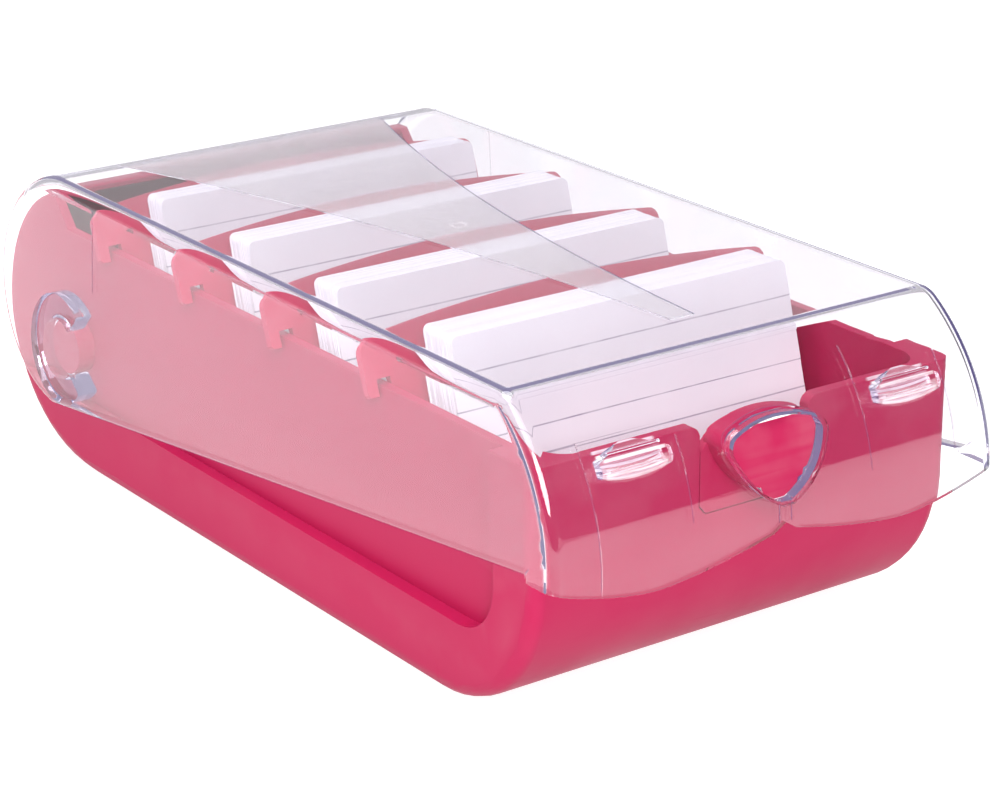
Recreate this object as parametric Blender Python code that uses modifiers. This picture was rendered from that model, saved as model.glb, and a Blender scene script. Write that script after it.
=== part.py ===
"""Desk card index box for A7 cards: a tub, a clear swing lid, leaning dividers and card packs.

Frame: metres, +Z up, the box stands on z = 0.  +X is the width, -Y the front with the push
latch, +Y the rear with the lid's pivot.  All sizes below are written in millimetres.
"""

import math

import bmesh
import bpy
from mathutils import Matrix, Vector

MM = 0.001
GAP = 0.3                       # clearance between solids that touch

# ---- lid ---------------------------------------------------------------------------------
LID_TOP_Z = 84.0
LID_WALL = 2.0
LID_HALF_WIDTH = 65.5           # outside, at the top edge
LID_DRAFT = 0.05                # side walls flare outwards by this much per mm of depth
LID_FRONT_TOP_Y = -113.25       # where the flat top breaks into the curved front
LID_FRONT_DROP = 22.0           # how far the curved front leans forward
LID_FRONT_Z = 43.0              # height where the curved front has become upright
LID_LOW_FRONT_Z = 43.3          # side walls' lower edge at the front ...
LID_REAR_RADIUS = 33.0          # round rear end of the side walls
LID_REAR_Y = 94.75              # centre of that round end
LID_WRAP_ANGLE = 54.8           # where the top shell ends on the round end, degrees above level
LID_EDGE_ROUND = 4.0            # round along the lid's long edges and its lower rim
LID_BROW_ROUND = 7.0            # round where the curved front meets the top
WING_LOW_Z = 37.2               # lowest points of the front's gull-wing edge
WING_RISE = 6.2
WING_LOW_X = 37.0
WING_NOTCH = 1.3                # small peak in the middle of the gull wing
FOOT_DEPTH = 12.0               # stock left behind the front's foot until the wing is cut

# ---- pivot -------------------------------------------------------------------------------
PIVOT_Y = 93.75
PIVOT_Z = 36.0
PIN_RADIUS = 7.6
PIN_END_X = 63.2
RING_OUTER = 15.7
RING_INNER = 8.6
RING_MOUTH = (134.0, -140.0)    # ends of the open C, degrees from the rear; its mouth faces forward
RING_INNER_X = 60.0

# ---- tub ---------------------------------------------------------------------------------
TUB_HALF_WIDTH = 62.4
TUB_REAR_DRAW = 2.4             # each side draws in by this much at the very rear ...
TUB_DRAW_FROM_Y = 92.0          # ... from here on
TUB_FRONT_Y = -122.45
TUB_TOP_Z = 68.0
TUB_FRONT_RADIUS = 38.6         # large round under the front
TUB_REAR_RADIUS = 42.6          # rear wall, concentric with the pivot
TUB_REAR_FOOT_Y = 86.0          # where the rear round meets the flat bottom
TUB_REAR_TOP_Z = 75.6
TUB_RAMP = (98.5, 105.0)        # side walls climb to the rear wall's height between these
TUB_WALL = 2.5
TUB_INNER_HALF_WIDTH = 55.6
TUB_CORNER_ROUND = 3.4
INNER_CORNER_RADIUS = 8.0
FLOOR_Z = 3.0
TOOTH_TOP_Z = 9.8
TOOTH_PITCH = 7.25
TOOTH_WIDTH = 2.6
RECESS_HALF_WIDTH = 58.2        # side walls above the ledge
LEDGE_Z = 20.0
RECESS_FRONT_Y = -106.5
RECESS_RADIUS = 14.0

# ---- push latch --------------------------------------------------------------------------
SLOT_HALF_WIDTH = 16.3
SLOT_LOW_Z = 46.0
SLOT_FLARE = 2.6
LATCH_HALF_WIDTH = 16.0
LATCH_TOP_Z = 64.5
LATCH_CLEARANCE = 0.5           # head to the lid's inner face, so that the lid swings free

# ---- shield window in the lid's front -----------------------------------------------------
SHIELD_TOP_Z = 69.3
SHIELD_TIP_Z = 49.6
SHIELD_SHOULDER_X = 14.5
SHIELD_SHOULDER_Z = 63.6
SHIELD_BROW_X = 12.5
SHIELD_BROW_Z = 66.9
SHIELD_TIP_X = 1.6
SHIELD_CENTRE_Z = 60.5
RIM_WIDTH = 1.9
RIM_PROUD = 1.4
CATCH_X = 40.8
CATCH_Z = 67.6
CATCH_HALF_LENGTH = 9.9
CATCH_HALF_HEIGHT = 4.1
CATCH_END_HALF_HEIGHT = 1.7
CATCH_RIDGES = ((3.9, 0.3), (2.0, 2.3), (-1.4, 2.5), (-4.3, 0.3))   # height, how proud

# ---- satin thorn panel on the lid's top ---------------------------------------------------
PANEL_FRONT_Y = -96.0
PANEL_REAR_Y = 97.0
PANEL_TIP_HALF_WIDTH = 3.4
PANEL_REAR_HALF_WIDTH = 43.4
PANEL_STRAIGHT = 0.35           # share of the widening that is linear
PANEL_CURVE = 2.2               # exponent of the rest, which makes the sides concave
PANEL_THICKNESS = 0.5           # lies in a shallow pocket, flush with the lid's top

# ---- dividers and card packs --------------------------------------------------------------
STATIONS = 4
STATION_PITCH = 43.5
FIRST_DIVIDER_Y = -53.75        # divider's middle plane at the height of its lugs
LUG_Z = 73.0
DIVIDER_LEAN = math.radians(20.0)
DIVIDER_THICKNESS = 2.0
DIVIDER_FOOT_Z = 10.5
DIVIDER_HALF_WIDTH = 54.9
DIVIDER_APEX_Z = 81.2
LUG_TOP_Z = 77.6
LUG_OUTER_X = 61.8
LUG_SLOT_X = 58.8
LUG_HANG = 4.2
LUG_ROUND = 3.0
CARD_WIDTH = 102.0
CARD_HEIGHT = 74.0
CARD_LEAN = math.radians(16.0)
CARD_FOOT_Z = 10.1
PACKS = (                       # front top edge ahead of the lugs, depth along Y, sideways
    (19.2, 11.2, 0.3),
    (16.3, 9.8, -1.4),
    (14.8, 9.2, 1.0),
    (12.0, 7.2, 1.8),
)
FRONT_CARD_DEPTH = 0.4

PART_NAME = "card_index_box"
CUTTER_NAME = "cutters"


def clear_scene():
    for item in list(bpy.data.objects):
        bpy.data.objects.remove(item, do_unlink=True)


def new_collection(name):
    group = bpy.data.collections.new(name)
    bpy.context.scene.collection.children.link(group)
    return group


clear_scene()
PARTS = new_collection(PART_NAME)
CUTTERS = new_collection(CUTTER_NAME)


# ---- materials ----------------------------------------------------------------------------
def plastic(name, colour, roughness, transmission=0.0):
    material = bpy.data.materials.new(name)
    material.use_nodes = True
    shader = material.node_tree.nodes["Principled BSDF"]
    shader.inputs["Base Color"].default_value = (*colour, 1.0)
    shader.inputs["Roughness"].default_value = roughness
    shader.inputs["Metallic"].default_value = 0.0
    shader.inputs["Transmission Weight"].default_value = transmission
    material.diffuse_color = (*colour, 1.0)
    return material


TUB_PINK = ("tub_pink", (0.62, 0.012, 0.075), 0.42)
DIVIDER_PINK = ("divider_pink", (0.58, 0.02, 0.09), 0.48)
CLEAR = ("clear_plastic", (0.95, 0.95, 0.97), 0.06, 0.95)
SATIN = ("satin_clear", (0.90, 0.89, 0.92), 0.45, 0.8)
CARD_WHITE = ("card_white", (0.90, 0.88, 0.90), 0.85)
PAPER_WHITE = ("ruled_card", (0.93, 0.91, 0.93), 0.80)


# ---- outlines -----------------------------------------------------------------------------
def arc(centre, radii, start, end, steps):
    """Points on an ellipse's arc, angles in degrees, both ends included."""
    points = []
    for step in range(steps + 1):
        angle = math.radians(start + (end - start) * step / steps)
        across = centre[0] + radii[0] * math.cos(angle)
        up = centre[1] + radii[1] * math.sin(angle)
        points.append((across, up))
    return points


def bowed(start, end, bow, steps):
    """Points of a shallow arc from start to end, bulging to the left by bow; no end point."""
    chord = Vector(end) - Vector(start)
    side = Vector((-chord.y, chord.x)).normalized()
    points = []
    for step in range(steps):
        t = step / steps
        place = Vector(start) + chord * t + side * (4.0 * bow * t * (1.0 - t))
        points.append((place.x, place.y))
    return points


def mirrored(right_half):
    """A closed outline from its right half, which runs from the top middle to the bottom."""
    left_half = [(-x, z) for x, z in reversed(right_half) if x > 1e-6]
    return right_half + left_half


# ---- solids -------------------------------------------------------------------------------
PLANES = {
    "YZ": Matrix(((0, 0, 1, 0), (1, 0, 0, 0), (0, 1, 0, 0), (0, 0, 0, 1))),
    "XZ": Matrix(((1, 0, 0, 0), (0, 0, -1, 0), (0, 1, 0, 0), (0, 0, 0, 1))),
    "XY": Matrix.Identity(4),
}


def prism(name, outline, plane, low, high):
    """Solid of an outline in a plane, from low to high along the plane's normal axis."""
    curve = bpy.data.curves.new(name + "_outline", "CURVE")
    curve.dimensions = "2D"
    curve.fill_mode = "BOTH"
    curve.extrude = 0.5 * (high - low) * MM
    spline = curve.splines.new("POLY")
    spline.points.add(len(outline) - 1)
    for point, (across, up) in zip(spline.points, outline):
        point.co = (across * MM, up * MM, 0.0, 1.0)
    spline.use_cyclic_u = True
    flat = bpy.data.objects.new(name + "_outline", curve)
    PARTS.objects.link(flat)
    bpy.context.view_layer.update()
    graph = bpy.context.evaluated_depsgraph_get()
    mesh = bpy.data.meshes.new_from_object(flat.evaluated_get(graph))
    bpy.data.objects.remove(flat, do_unlink=True)
    middle = 0.5 * (low + high) * MM
    shift = {"YZ": (middle, 0, 0), "XZ": (0, middle, 0), "XY": (0, 0, middle)}[plane]
    mesh.transform(Matrix.Translation(shift) @ PLANES[plane])
    work = bmesh.new()
    work.from_mesh(mesh)
    bmesh.ops.remove_doubles(work, verts=work.verts, dist=1e-6)
    bmesh.ops.dissolve_limit(work, angle_limit=math.radians(0.2),
                             verts=work.verts, edges=work.edges)
    bmesh.ops.recalc_face_normals(work, faces=work.faces)
    work.to_mesh(mesh)
    work.free()
    mesh.materials.clear()
    solid = bpy.data.objects.new(name, mesh)
    CUTTERS.objects.link(solid)
    solid.hide_render = True
    solid.display_type = "WIRE"
    return solid


def flare(solid, half_width):
    """Widen a unit-wide prism so that its half width follows half_width(y, z)."""
    for vertex in solid.data.vertices:
        half = half_width(vertex.co.y / MM, vertex.co.z / MM)
        vertex.co.x = math.copysign(half * MM, vertex.co.x)


def pin(name, low, high):
    work = bmesh.new()
    bmesh.ops.create_cone(work, cap_ends=True, segments=40, radius1=PIN_RADIUS * MM,
                          radius2=PIN_RADIUS * MM, depth=(high - low) * MM)
    mesh = bpy.data.meshes.new(name)
    work.to_mesh(mesh)
    work.free()
    mesh.transform(Matrix.Rotation(math.radians(90.0), 4, "Y"))
    mesh.transform(Matrix.Translation((0.5 * (low + high) * MM, PIVOT_Y * MM, PIVOT_Z * MM)))
    solid = bpy.data.objects.new(name, mesh)
    CUTTERS.objects.link(solid)
    solid.hide_render = True
    solid.display_type = "WIRE"
    return solid


def combine(solid, other, operation="DIFFERENCE"):
    modifier = solid.modifiers.new(operation.lower(), "BOOLEAN")
    modifier.operation = operation
    modifier.solver = "EXACT"
    modifier.object = other


def round_edges(solid, width, segments, angle=50.0):
    modifier = solid.modifiers.new("round", "BEVEL")
    modifier.width = width * MM
    modifier.segments = segments
    modifier.limit_method = "ANGLE"
    modifier.angle_limit = math.radians(angle)


def publish(solid, material, origin=(0.0, 0.0, 0.0)):
    """Make a solid a part: its own material, its origin on its joint's axis, smooth rounds."""
    CUTTERS.objects.unlink(solid)
    PARTS.objects.link(solid)
    solid.hide_render = False
    solid.display_type = "TEXTURED"
    solid.data.materials.append(plastic(solid.name + "_" + material[0], *material[1:]))
    place = Vector(origin) * MM
    solid.data.transform(Matrix.Translation(-place))
    solid.location = place
    solid.data.shade_smooth()
    solid.data.set_sharp_from_angle(angle=math.radians(30.0))
    return solid


# ---- the lid's curved front ---------------------------------------------------------------
FRONT_RISE = LID_TOP_Z - LID_FRONT_Z
FRONT_RADIUS = (LID_FRONT_DROP ** 2 + FRONT_RISE ** 2) / (2.0 * LID_FRONT_DROP)
FRONT_CENTRE_Y = LID_FRONT_TOP_Y - LID_FRONT_DROP + FRONT_RADIUS
LID_FRONT_Y = LID_FRONT_TOP_Y - LID_FRONT_DROP
REAR_CENTRE_Z = LID_TOP_Z - LID_REAR_RADIUS


def front_curve(offset, top_z, steps=22):
    """The curved front, offset outwards, from the upright part up to top_z."""
    radius = FRONT_RADIUS + offset
    end = 180.0 - math.degrees(math.asin((top_z - LID_FRONT_Z) / radius))
    return arc((FRONT_CENTRE_Y, LID_FRONT_Z), (radius, radius), 180.0, end, steps)


def rounded_front(inset):
    """The whole front, inset from the outside, with a rounded corner into the level top."""
    radius = FRONT_RADIUS - inset
    corner = LID_BROW_ROUND - inset
    reach = FRONT_RADIUS - LID_BROW_ROUND
    centre_z = LID_TOP_Z - LID_BROW_ROUND
    rise = centre_z - LID_FRONT_Z
    centre_y = FRONT_CENTRE_Y - math.sqrt(reach ** 2 - rise ** 2)
    end = 180.0 - math.degrees(math.asin(rise / reach))
    curve = arc((FRONT_CENTRE_Y, LID_FRONT_Z), (radius, radius), 180.0, end, 20)
    return curve + arc((centre_y, centre_z), (corner, corner), end, 90.0, 6)[1:]


def front_point(offset, z):
    """Point off the curved front by offset, level with the front's own height z."""
    angle = math.pi - math.asin((z - LID_FRONT_Z) / FRONT_RADIUS)
    reach = FRONT_RADIUS + offset
    return (FRONT_CENTRE_Y + reach * math.cos(angle), LID_FRONT_Z + reach * math.sin(angle))


def front_band(name, inner, outer, half_width):
    """Slice of shell that follows the curved front between two offsets."""
    top_z = LID_TOP_Z - 6.0
    outside = front_curve(outer, top_z)
    inside = front_curve(inner, top_z)
    foot = [(LID_FRONT_Y - inner, LID_FRONT_Z - 8.0), (LID_FRONT_Y - outer, LID_FRONT_Z - 8.0)]
    return prism(name, outside + inside[::-1] + foot, "YZ", -half_width, half_width)


def lid_half_width(inset):
    return lambda y, z: LID_HALF_WIDTH - inset + LID_DRAFT * (LID_TOP_Z - z)


def lid_outside(name):
    """Outer shape of the lid, down to the side walls' lower edge and the front's foot."""
    foot_z = WING_LOW_Z - 3.0
    curve = rounded_front(0.0)[::-1]
    foot = [(LID_FRONT_Y, foot_z), (LID_FRONT_Y + FOOT_DEPTH, foot_z),
            (LID_FRONT_Y + FOOT_DEPTH, LID_LOW_FRONT_Z)]
    rear = arc((LID_REAR_Y, REAR_CENTRE_Z), (LID_REAR_RADIUS,) * 2, -84.0, 90.0, 40)
    solid = prism(name, curve + foot + rear, "YZ", -1.0, 1.0)
    flare(solid, lid_half_width(0.0))
    return solid


def lid_hollow(name, inset):
    """Space inside the lid, open at the rear and below; inset is the wall left around it."""
    curve = rounded_front(inset)
    inner = (LID_REAR_RADIUS - inset,) * 2
    rear = arc((LID_REAR_Y, REAR_CENTRE_Z), inner, 90.0, LID_WRAP_ANGLE, 10)
    clear = arc((LID_REAR_Y, REAR_CENTRE_Z), (LID_REAR_RADIUS + 12.0,) * 2,
                LID_WRAP_ANGLE, 0.0, 6)
    below = [(LID_REAR_Y + LID_REAR_RADIUS + 12.0, 5.0), (LID_FRONT_Y + inset, 5.0)]
    solid = prism(name, curve + rear + clear + below, "YZ", -1.0, 1.0)
    flare(solid, lid_half_width(inset))
    round_edges(solid, LID_EDGE_ROUND - inset, 4)
    return solid


def wing_height(x):
    """Lower edge of the front: two shallow wings with a peak between them."""
    reach = abs(x)
    if reach < WING_LOW_X:
        rise = ((WING_LOW_X - reach) / WING_LOW_X) ** 1.5
    else:
        rise = ((reach - WING_LOW_X) / 30.0) ** 1.6
    notch = WING_NOTCH * max(0.0, 1.0 - reach / 3.0)
    return WING_LOW_Z + WING_RISE * rise + notch


def shield(inset):
    """Shield outline: a bowed brow, rounded shoulders and two bowed sides down to a tip."""
    brow = bowed((0.0, SHIELD_TOP_Z), (SHIELD_BROW_X, SHIELD_BROW_Z), 0.6, 6)
    shoulder = bowed((SHIELD_BROW_X, SHIELD_BROW_Z),
                     (SHIELD_SHOULDER_X, SHIELD_SHOULDER_Z), 0.55, 4)
    side = bowed((SHIELD_SHOULDER_X, SHIELD_SHOULDER_Z), (SHIELD_TIP_X, SHIELD_TIP_Z), 2.0, 8)
    tip = [(SHIELD_TIP_X, SHIELD_TIP_Z)]
    shrink = 1.0 - inset / SHIELD_SHOULDER_X
    outline = mirrored(brow + shoulder + side + tip)
    return [(x * shrink, SHIELD_CENTRE_Z + (z - SHIELD_CENTRE_Z) * shrink) for x, z in outline]


def build_lid():
    lid = lid_outside("lid_shell")
    reach = LID_HALF_WIDTH + 10.0
    steps = 44
    edge = []
    for step in range(steps + 1):
        x = -reach + 2.0 * reach * step / steps
        edge.append((x, wing_height(x)))
    below = [(reach, 20.0), (-reach, 20.0)]
    wing = prism("wing_cut", edge + below, "XZ", LID_FRONT_Y - 5.0,
                 LID_FRONT_Y + FOOT_DEPTH + 1.0)
    round_edges(lid, LID_EDGE_ROUND, 4)
    combine(lid, wing)
    combine(lid, lid_hollow("lid_hollow", LID_WALL))
    combine(lid, thorn("panel_pocket", GAP, LID_TOP_Z - PANEL_THICKNESS - GAP,
                       LID_TOP_Z + 5.0))
    combine(lid, prism("window_cut", shield(-GAP), "XZ", LID_FRONT_Y - 8.0, LID_FRONT_Y + 20.0))
    publish(lid, CLEAR, (0.0, PIVOT_Y, PIVOT_Z))


def build_window_rim():
    rim = prism("window_rim", shield(0.0), "XZ", LID_FRONT_Y - 8.0, LID_FRONT_Y + 20.0)
    combine(rim, prism("rim_hole", shield(RIM_WIDTH), "XZ",
                       LID_FRONT_Y - 9.0, LID_FRONT_Y + 21.0))
    combine(rim, front_band("rim_band", -LID_WALL, RIM_PROUD, 30.0), "INTERSECT")
    publish(rim, CLEAR, (0.0, PIVOT_Y, PIVOT_Z))


def build_catch(name, side):
    """Lens-shaped bump on the lid's front, its face in three flats along its length."""
    bow = CATCH_HALF_HEIGHT - CATCH_END_HALF_HEIGHT
    upper = bowed((CATCH_HALF_LENGTH, CATCH_END_HALF_HEIGHT),
                  (-CATCH_HALF_LENGTH, CATCH_END_HALF_HEIGHT), -bow, 12)
    upper.append((-CATCH_HALF_LENGTH, CATCH_END_HALF_HEIGHT))
    lens = upper + [(-x, -z) for x, z in upper]
    outline = [(side * CATCH_X + x, CATCH_Z + z) for x, z in lens]
    catch = prism(name, outline, "XZ", LID_FRONT_Y - 8.0, LID_FRONT_Y + 20.0)
    facets = [front_point(proud, CATCH_Z + height) for height, proud in CATCH_RIDGES]
    heights = (-4.3, -3.2, -2.1, -1.0, 0.0, 1.0, 2.0, 3.0, 3.9)
    base = [front_point(GAP, CATCH_Z + height) for height in heights]
    combine(catch, prism(name + "_facets", facets + base[1:-1], "YZ", -60.0, 60.0),
            "INTERSECT")
    publish(catch, CLEAR, (0.0, PIVOT_Y, PIVOT_Z))


def build_bearing_ring(name, side):
    """C-shaped bearing on the lid's inner face, its mouth open towards the front."""
    upper, lower = RING_MOUTH
    outer = arc((PIVOT_Y, PIVOT_Z), (RING_OUTER,) * 2, lower, upper, 28)
    inner = arc((PIVOT_Y, PIVOT_Z), (RING_INNER,) * 2, upper, lower, 24)
    low, high = sorted((side * RING_INNER_X, side * (LID_HALF_WIDTH + 8.0)))
    ring = prism(name, outer + inner, "YZ", low, high)
    combine(ring, lid_hollow(name + "_limit", LID_WALL + GAP), "INTERSECT")
    publish(ring, CLEAR, (0.0, PIVOT_Y, PIVOT_Z))


def thorn(name, margin, low_z, high_z):
    """Thorn-shaped plate, wide at the rear and concave along its sides."""
    steps = 14
    right = []
    for step in range(steps + 1):
        t = 1.0 - step / steps
        widening = PANEL_STRAIGHT * t + (1.0 - PANEL_STRAIGHT) * t ** PANEL_CURVE
        half = PANEL_TIP_HALF_WIDTH + widening * (
            PANEL_REAR_HALF_WIDTH - PANEL_TIP_HALF_WIDTH)
        right.append((half + margin, PANEL_FRONT_Y + (PANEL_REAR_Y - PANEL_FRONT_Y) * t))
    right[0] = (right[0][0], PANEL_REAR_Y + margin)
    right[-1] = (right[-1][0], PANEL_FRONT_Y - margin)
    outline = right + [(-x, y) for x, y in reversed(right)]
    return prism(name, outline, "XY", low_z, high_z)


def build_satin_panel():
    panel = thorn("satin_panel", 0.0, LID_TOP_Z - PANEL_THICKNESS, LID_TOP_Z)
    publish(panel, SATIN, (0.0, PIVOT_Y, PIVOT_Z))


# ---- tub ----------------------------------------------------------------------------------
def tub_profile(inset, floor_points, top_z):
    """Side view of the tub's outside (inset 0) or of its inside, closed far above its rim."""
    front_radius = TUB_FRONT_RADIUS - inset
    front_y = TUB_FRONT_Y + inset
    front = arc((front_y + front_radius, TUB_FRONT_RADIUS), (front_radius,) * 2,
                180.0, 270.0, 14)
    foot = (PIVOT_Y + TUB_REAR_RADIUS - TUB_REAR_FOOT_Y - inset, PIVOT_Z - inset)
    rear = arc((TUB_REAR_FOOT_Y, PIVOT_Z), foot, -90.0, 0.0, 14)
    back = arc((PIVOT_Y, PIVOT_Z), (TUB_REAR_RADIUS - inset,) * 2, 0.0, 74.0, 14)
    crown = [(back[-1][0], top_z), (front_y, top_z)]
    return front[:-1] + floor_points(front[-1], rear[0]) + rear[1:] + back[1:] + crown


def flat_floor(front_end, rear_end):
    return [front_end, rear_end]


def toothed_floor(front_end, rear_end):
    """Floor with a row of cross teeth that the cards' feet stand on."""
    points = [front_end]
    y = front_end[0] + 4.0
    slope = 0.5
    while y + TOOTH_PITCH < rear_end[0]:
        points.append((y, FLOOR_Z))
        points.append((y + slope, TOOTH_TOP_Z))
        points.append((y + slope + TOOTH_WIDTH, TOOTH_TOP_Z))
        points.append((y + 2.0 * slope + TOOTH_WIDTH, FLOOR_Z))
        y += TOOTH_PITCH
    points.append(rear_end)
    return points


def rounded_box(half_x, front_y, rear_y, radius):
    """Plan outline of the tub's inside, rounded at its four upright corners."""
    corners = (
        (half_x - radius, front_y + radius, -90.0),
        (half_x - radius, rear_y - radius, 0.0),
        (radius - half_x, rear_y - radius, 90.0),
        (radius - half_x, front_y + radius, 180.0),
    )
    points = []
    for x, y, start in corners:
        points += arc((x, y), (radius, radius), start, start + 90.0, 6)
    return points


def tub_hollow():
    inside = prism("tub_hollow", tub_profile(TUB_WALL + 0.5, toothed_floor, 100.0), "YZ",
                   -TUB_INNER_HALF_WIDTH, TUB_INNER_HALF_WIDTH)
    plan = rounded_box(TUB_INNER_HALF_WIDTH, TUB_FRONT_Y + TUB_WALL, 140.0,
                       INNER_CORNER_RADIUS)
    combine(inside, prism("tub_plan", plan, "XY", -5.0, 105.0), "INTERSECT")
    return inside


def tub_crown_cut():
    """Everything above the rim: side walls, then the ramps up to the rear wall's height."""
    ramp_low, ramp_high = TUB_RAMP
    outline = [(-150.0, TUB_TOP_Z), (ramp_low, TUB_TOP_Z), (ramp_high, TUB_REAR_TOP_Z),
               (150.0, TUB_REAR_TOP_Z), (150.0, 110.0), (-150.0, 110.0)]
    return prism("crown_cut", outline, "YZ", -80.0, 80.0)


def recess_cut(side):
    """Shallow side pocket above the ledge, round at its front end and open to the rear."""
    corner = arc((RECESS_FRONT_Y + RECESS_RADIUS, LEDGE_Z + RECESS_RADIUS),
                 (RECESS_RADIUS,) * 2, 180.0, 270.0, 8)
    outline = corner + [(150.0, LEDGE_Z), (150.0, 105.0), (RECESS_FRONT_Y, 105.0)]
    low, high = sorted((side * RECESS_HALF_WIDTH, side * 75.0))
    return prism("recess_cut", outline, "YZ", low, high)


def latch_slot():
    """Slot in the front wall around the push latch, flared at its mouth."""
    flare_top = bowed((SLOT_HALF_WIDTH, TUB_TOP_Z - SLOT_FLARE),
                      (SLOT_HALF_WIDTH + SLOT_FLARE, TUB_TOP_Z), 0.6, 4)
    right = [(SLOT_HALF_WIDTH - 2.0, SLOT_LOW_Z), (SLOT_HALF_WIDTH, SLOT_LOW_Z + 2.0)]
    right += flare_top
    right += [(SLOT_HALF_WIDTH + SLOT_FLARE, TUB_TOP_Z), (SLOT_HALF_WIDTH + SLOT_FLARE, 110.0)]
    outline = right + [(-x, z) for x, z in reversed(right)]
    return prism("latch_slot", outline, "XZ", TUB_FRONT_Y - 5.0, TUB_FRONT_Y + TUB_WALL + 3.0)


def tub_half_width(y, z):
    rear_y = PIVOT_Y + TUB_REAR_RADIUS
    t = max(0.0, (y - TUB_DRAW_FROM_Y) / (rear_y - TUB_DRAW_FROM_Y))
    return TUB_HALF_WIDTH - TUB_REAR_DRAW * t * t


def build_tub():
    tub = prism("tub", tub_profile(0.0, flat_floor, 100.0), "YZ", -1.0, 1.0)
    flare(tub, tub_half_width)
    round_edges(tub, TUB_CORNER_ROUND, 3)
    combine(tub, tub_hollow())
    combine(tub, tub_crown_cut())
    for side in (-1.0, 1.0):
        combine(tub, recess_cut(side))
        low, high = sorted((side * (RECESS_HALF_WIDTH - 1.5), side * PIN_END_X))
        combine(tub, pin("pivot_pin", low, high), "UNION")
    combine(tub, latch_slot())
    publish(tub, TUB_PINK)


def build_latch():
    """Springy tongue in the front wall with a shield-shaped push head behind the window."""
    front = TUB_FRONT_Y
    low_z = SLOT_LOW_Z + GAP
    plate = [(LATCH_HALF_WIDTH - 1.9, low_z), (LATCH_HALF_WIDTH, low_z + 1.9),
             (LATCH_HALF_WIDTH, LATCH_TOP_Z - 3.0),
             (LATCH_HALF_WIDTH - 3.0, LATCH_TOP_Z)]
    outline = plate + [(-x, z) for x, z in reversed(plate)]
    latch = prism("latch_tongue", outline, "XZ", front, front + TUB_WALL)
    head = prism("latch_head", shield(0.2), "XZ", front - 16.0, front + 1.2)
    combine(head, lid_hollow("head_limit", LID_WALL + LATCH_CLEARANCE), "INTERSECT")
    combine(latch, head, "UNION")
    publish(latch, TUB_PINK, (0.0, front + 0.5 * TUB_WALL, low_z))


# ---- dividers and packs -------------------------------------------------------------------
def leaning(solid, angle, foot_y, foot_z):
    """Tip an upright plate back about its foot line and put it in place."""
    solid.data.transform(Matrix.Rotation(-angle, 4, "X"))
    solid.data.transform(Matrix.Translation((0.0, foot_y * MM, foot_z * MM)))


def divider_outline():
    """Plate as wide as the tub's inside, arched on top, with lugs that hook over the rims."""
    scale = 1.0 / math.cos(DIVIDER_LEAN)
    apex = (DIVIDER_APEX_Z - DIVIDER_FOOT_Z) * scale
    lug_top = (LUG_TOP_Z - DIVIDER_FOOT_Z) * scale
    lug_seat = (TUB_TOP_Z + GAP - DIVIDER_FOOT_Z) * scale + 0.35 * DIVIDER_THICKNESS
    lug_foot = lug_seat - LUG_HANG
    right = bowed((0.0, apex), (LUG_OUTER_X - LUG_ROUND, lug_top), 0.9, 10)
    right += arc((LUG_OUTER_X - LUG_ROUND, lug_top - LUG_ROUND), (LUG_ROUND,) * 2,
                 90.0, 0.0, 4)
    right += [(LUG_OUTER_X, lug_foot + 0.8), (LUG_OUTER_X - 0.8, lug_foot),
              (LUG_SLOT_X, lug_foot), (LUG_SLOT_X, lug_seat),
              (DIVIDER_HALF_WIDTH, lug_seat), (DIVIDER_HALF_WIDTH, 4.0),
              (DIVIDER_HALF_WIDTH - 4.0, 0.0)]
    return mirrored(right)


def build_divider(number, lug_y):
    name = f"divider_{number}"
    half = 0.5 * DIVIDER_THICKNESS
    plate = prism(name, divider_outline(), "XZ", -half, half)
    foot_y = lug_y - (LUG_Z - DIVIDER_FOOT_Z) * math.tan(DIVIDER_LEAN)
    leaning(plate, DIVIDER_LEAN, foot_y, DIVIDER_FOOT_Z)
    publish(plate, DIVIDER_PINK, (0.0, lug_y, LUG_Z))


def slab(name, front_foot_y, depth, sideways, origin):
    """Leaning pack of cards: level at its foot and its top, front and back parallel."""
    rise = CARD_HEIGHT * math.cos(CARD_LEAN)
    back = CARD_HEIGHT * math.sin(CARD_LEAN)
    outline = [(front_foot_y, CARD_FOOT_Z), (front_foot_y + depth, CARD_FOOT_Z),
               (front_foot_y + depth + back, CARD_FOOT_Z + rise),
               (front_foot_y + back, CARD_FOOT_Z + rise)]
    solid = prism(name, outline, "YZ", sideways - 0.5 * CARD_WIDTH,
                  sideways + 0.5 * CARD_WIDTH)
    material = PAPER_WHITE if depth == FRONT_CARD_DEPTH else CARD_WHITE
    publish(solid, material, origin)


def build_pack(number, lug_y):
    setback, depth, sideways = PACKS[number - 1]
    top_y = lug_y - setback
    foot_y = top_y - CARD_HEIGHT * math.sin(CARD_LEAN)
    card_y = foot_y - GAP - FRONT_CARD_DEPTH
    origin = (0.0, card_y, CARD_FOOT_Z)
    slab(f"card_pack_{number}", foot_y, depth, sideways, origin)
    slab(f"ruled_card_{number}", card_y, FRONT_CARD_DEPTH, sideways, origin)


build_tub()
build_latch()
build_lid()
build_window_rim()
build_catch("catch_left", -1.0)
build_catch("catch_right", 1.0)
build_bearing_ring("bearing_ring_left", -1.0)
build_bearing_ring("bearing_ring_right", 1.0)
build_satin_panel()
for station in range(STATIONS):
    station_y = FIRST_DIVIDER_Y + STATION_PITCH * station
    build_divider(station + 1, station_y)
    build_pack(station + 1, station_y)
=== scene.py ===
"""Looks of the card index box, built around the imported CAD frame."""
import math
import random

import bmesh
import bpy
from mathutils import Matrix, Vector


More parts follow.
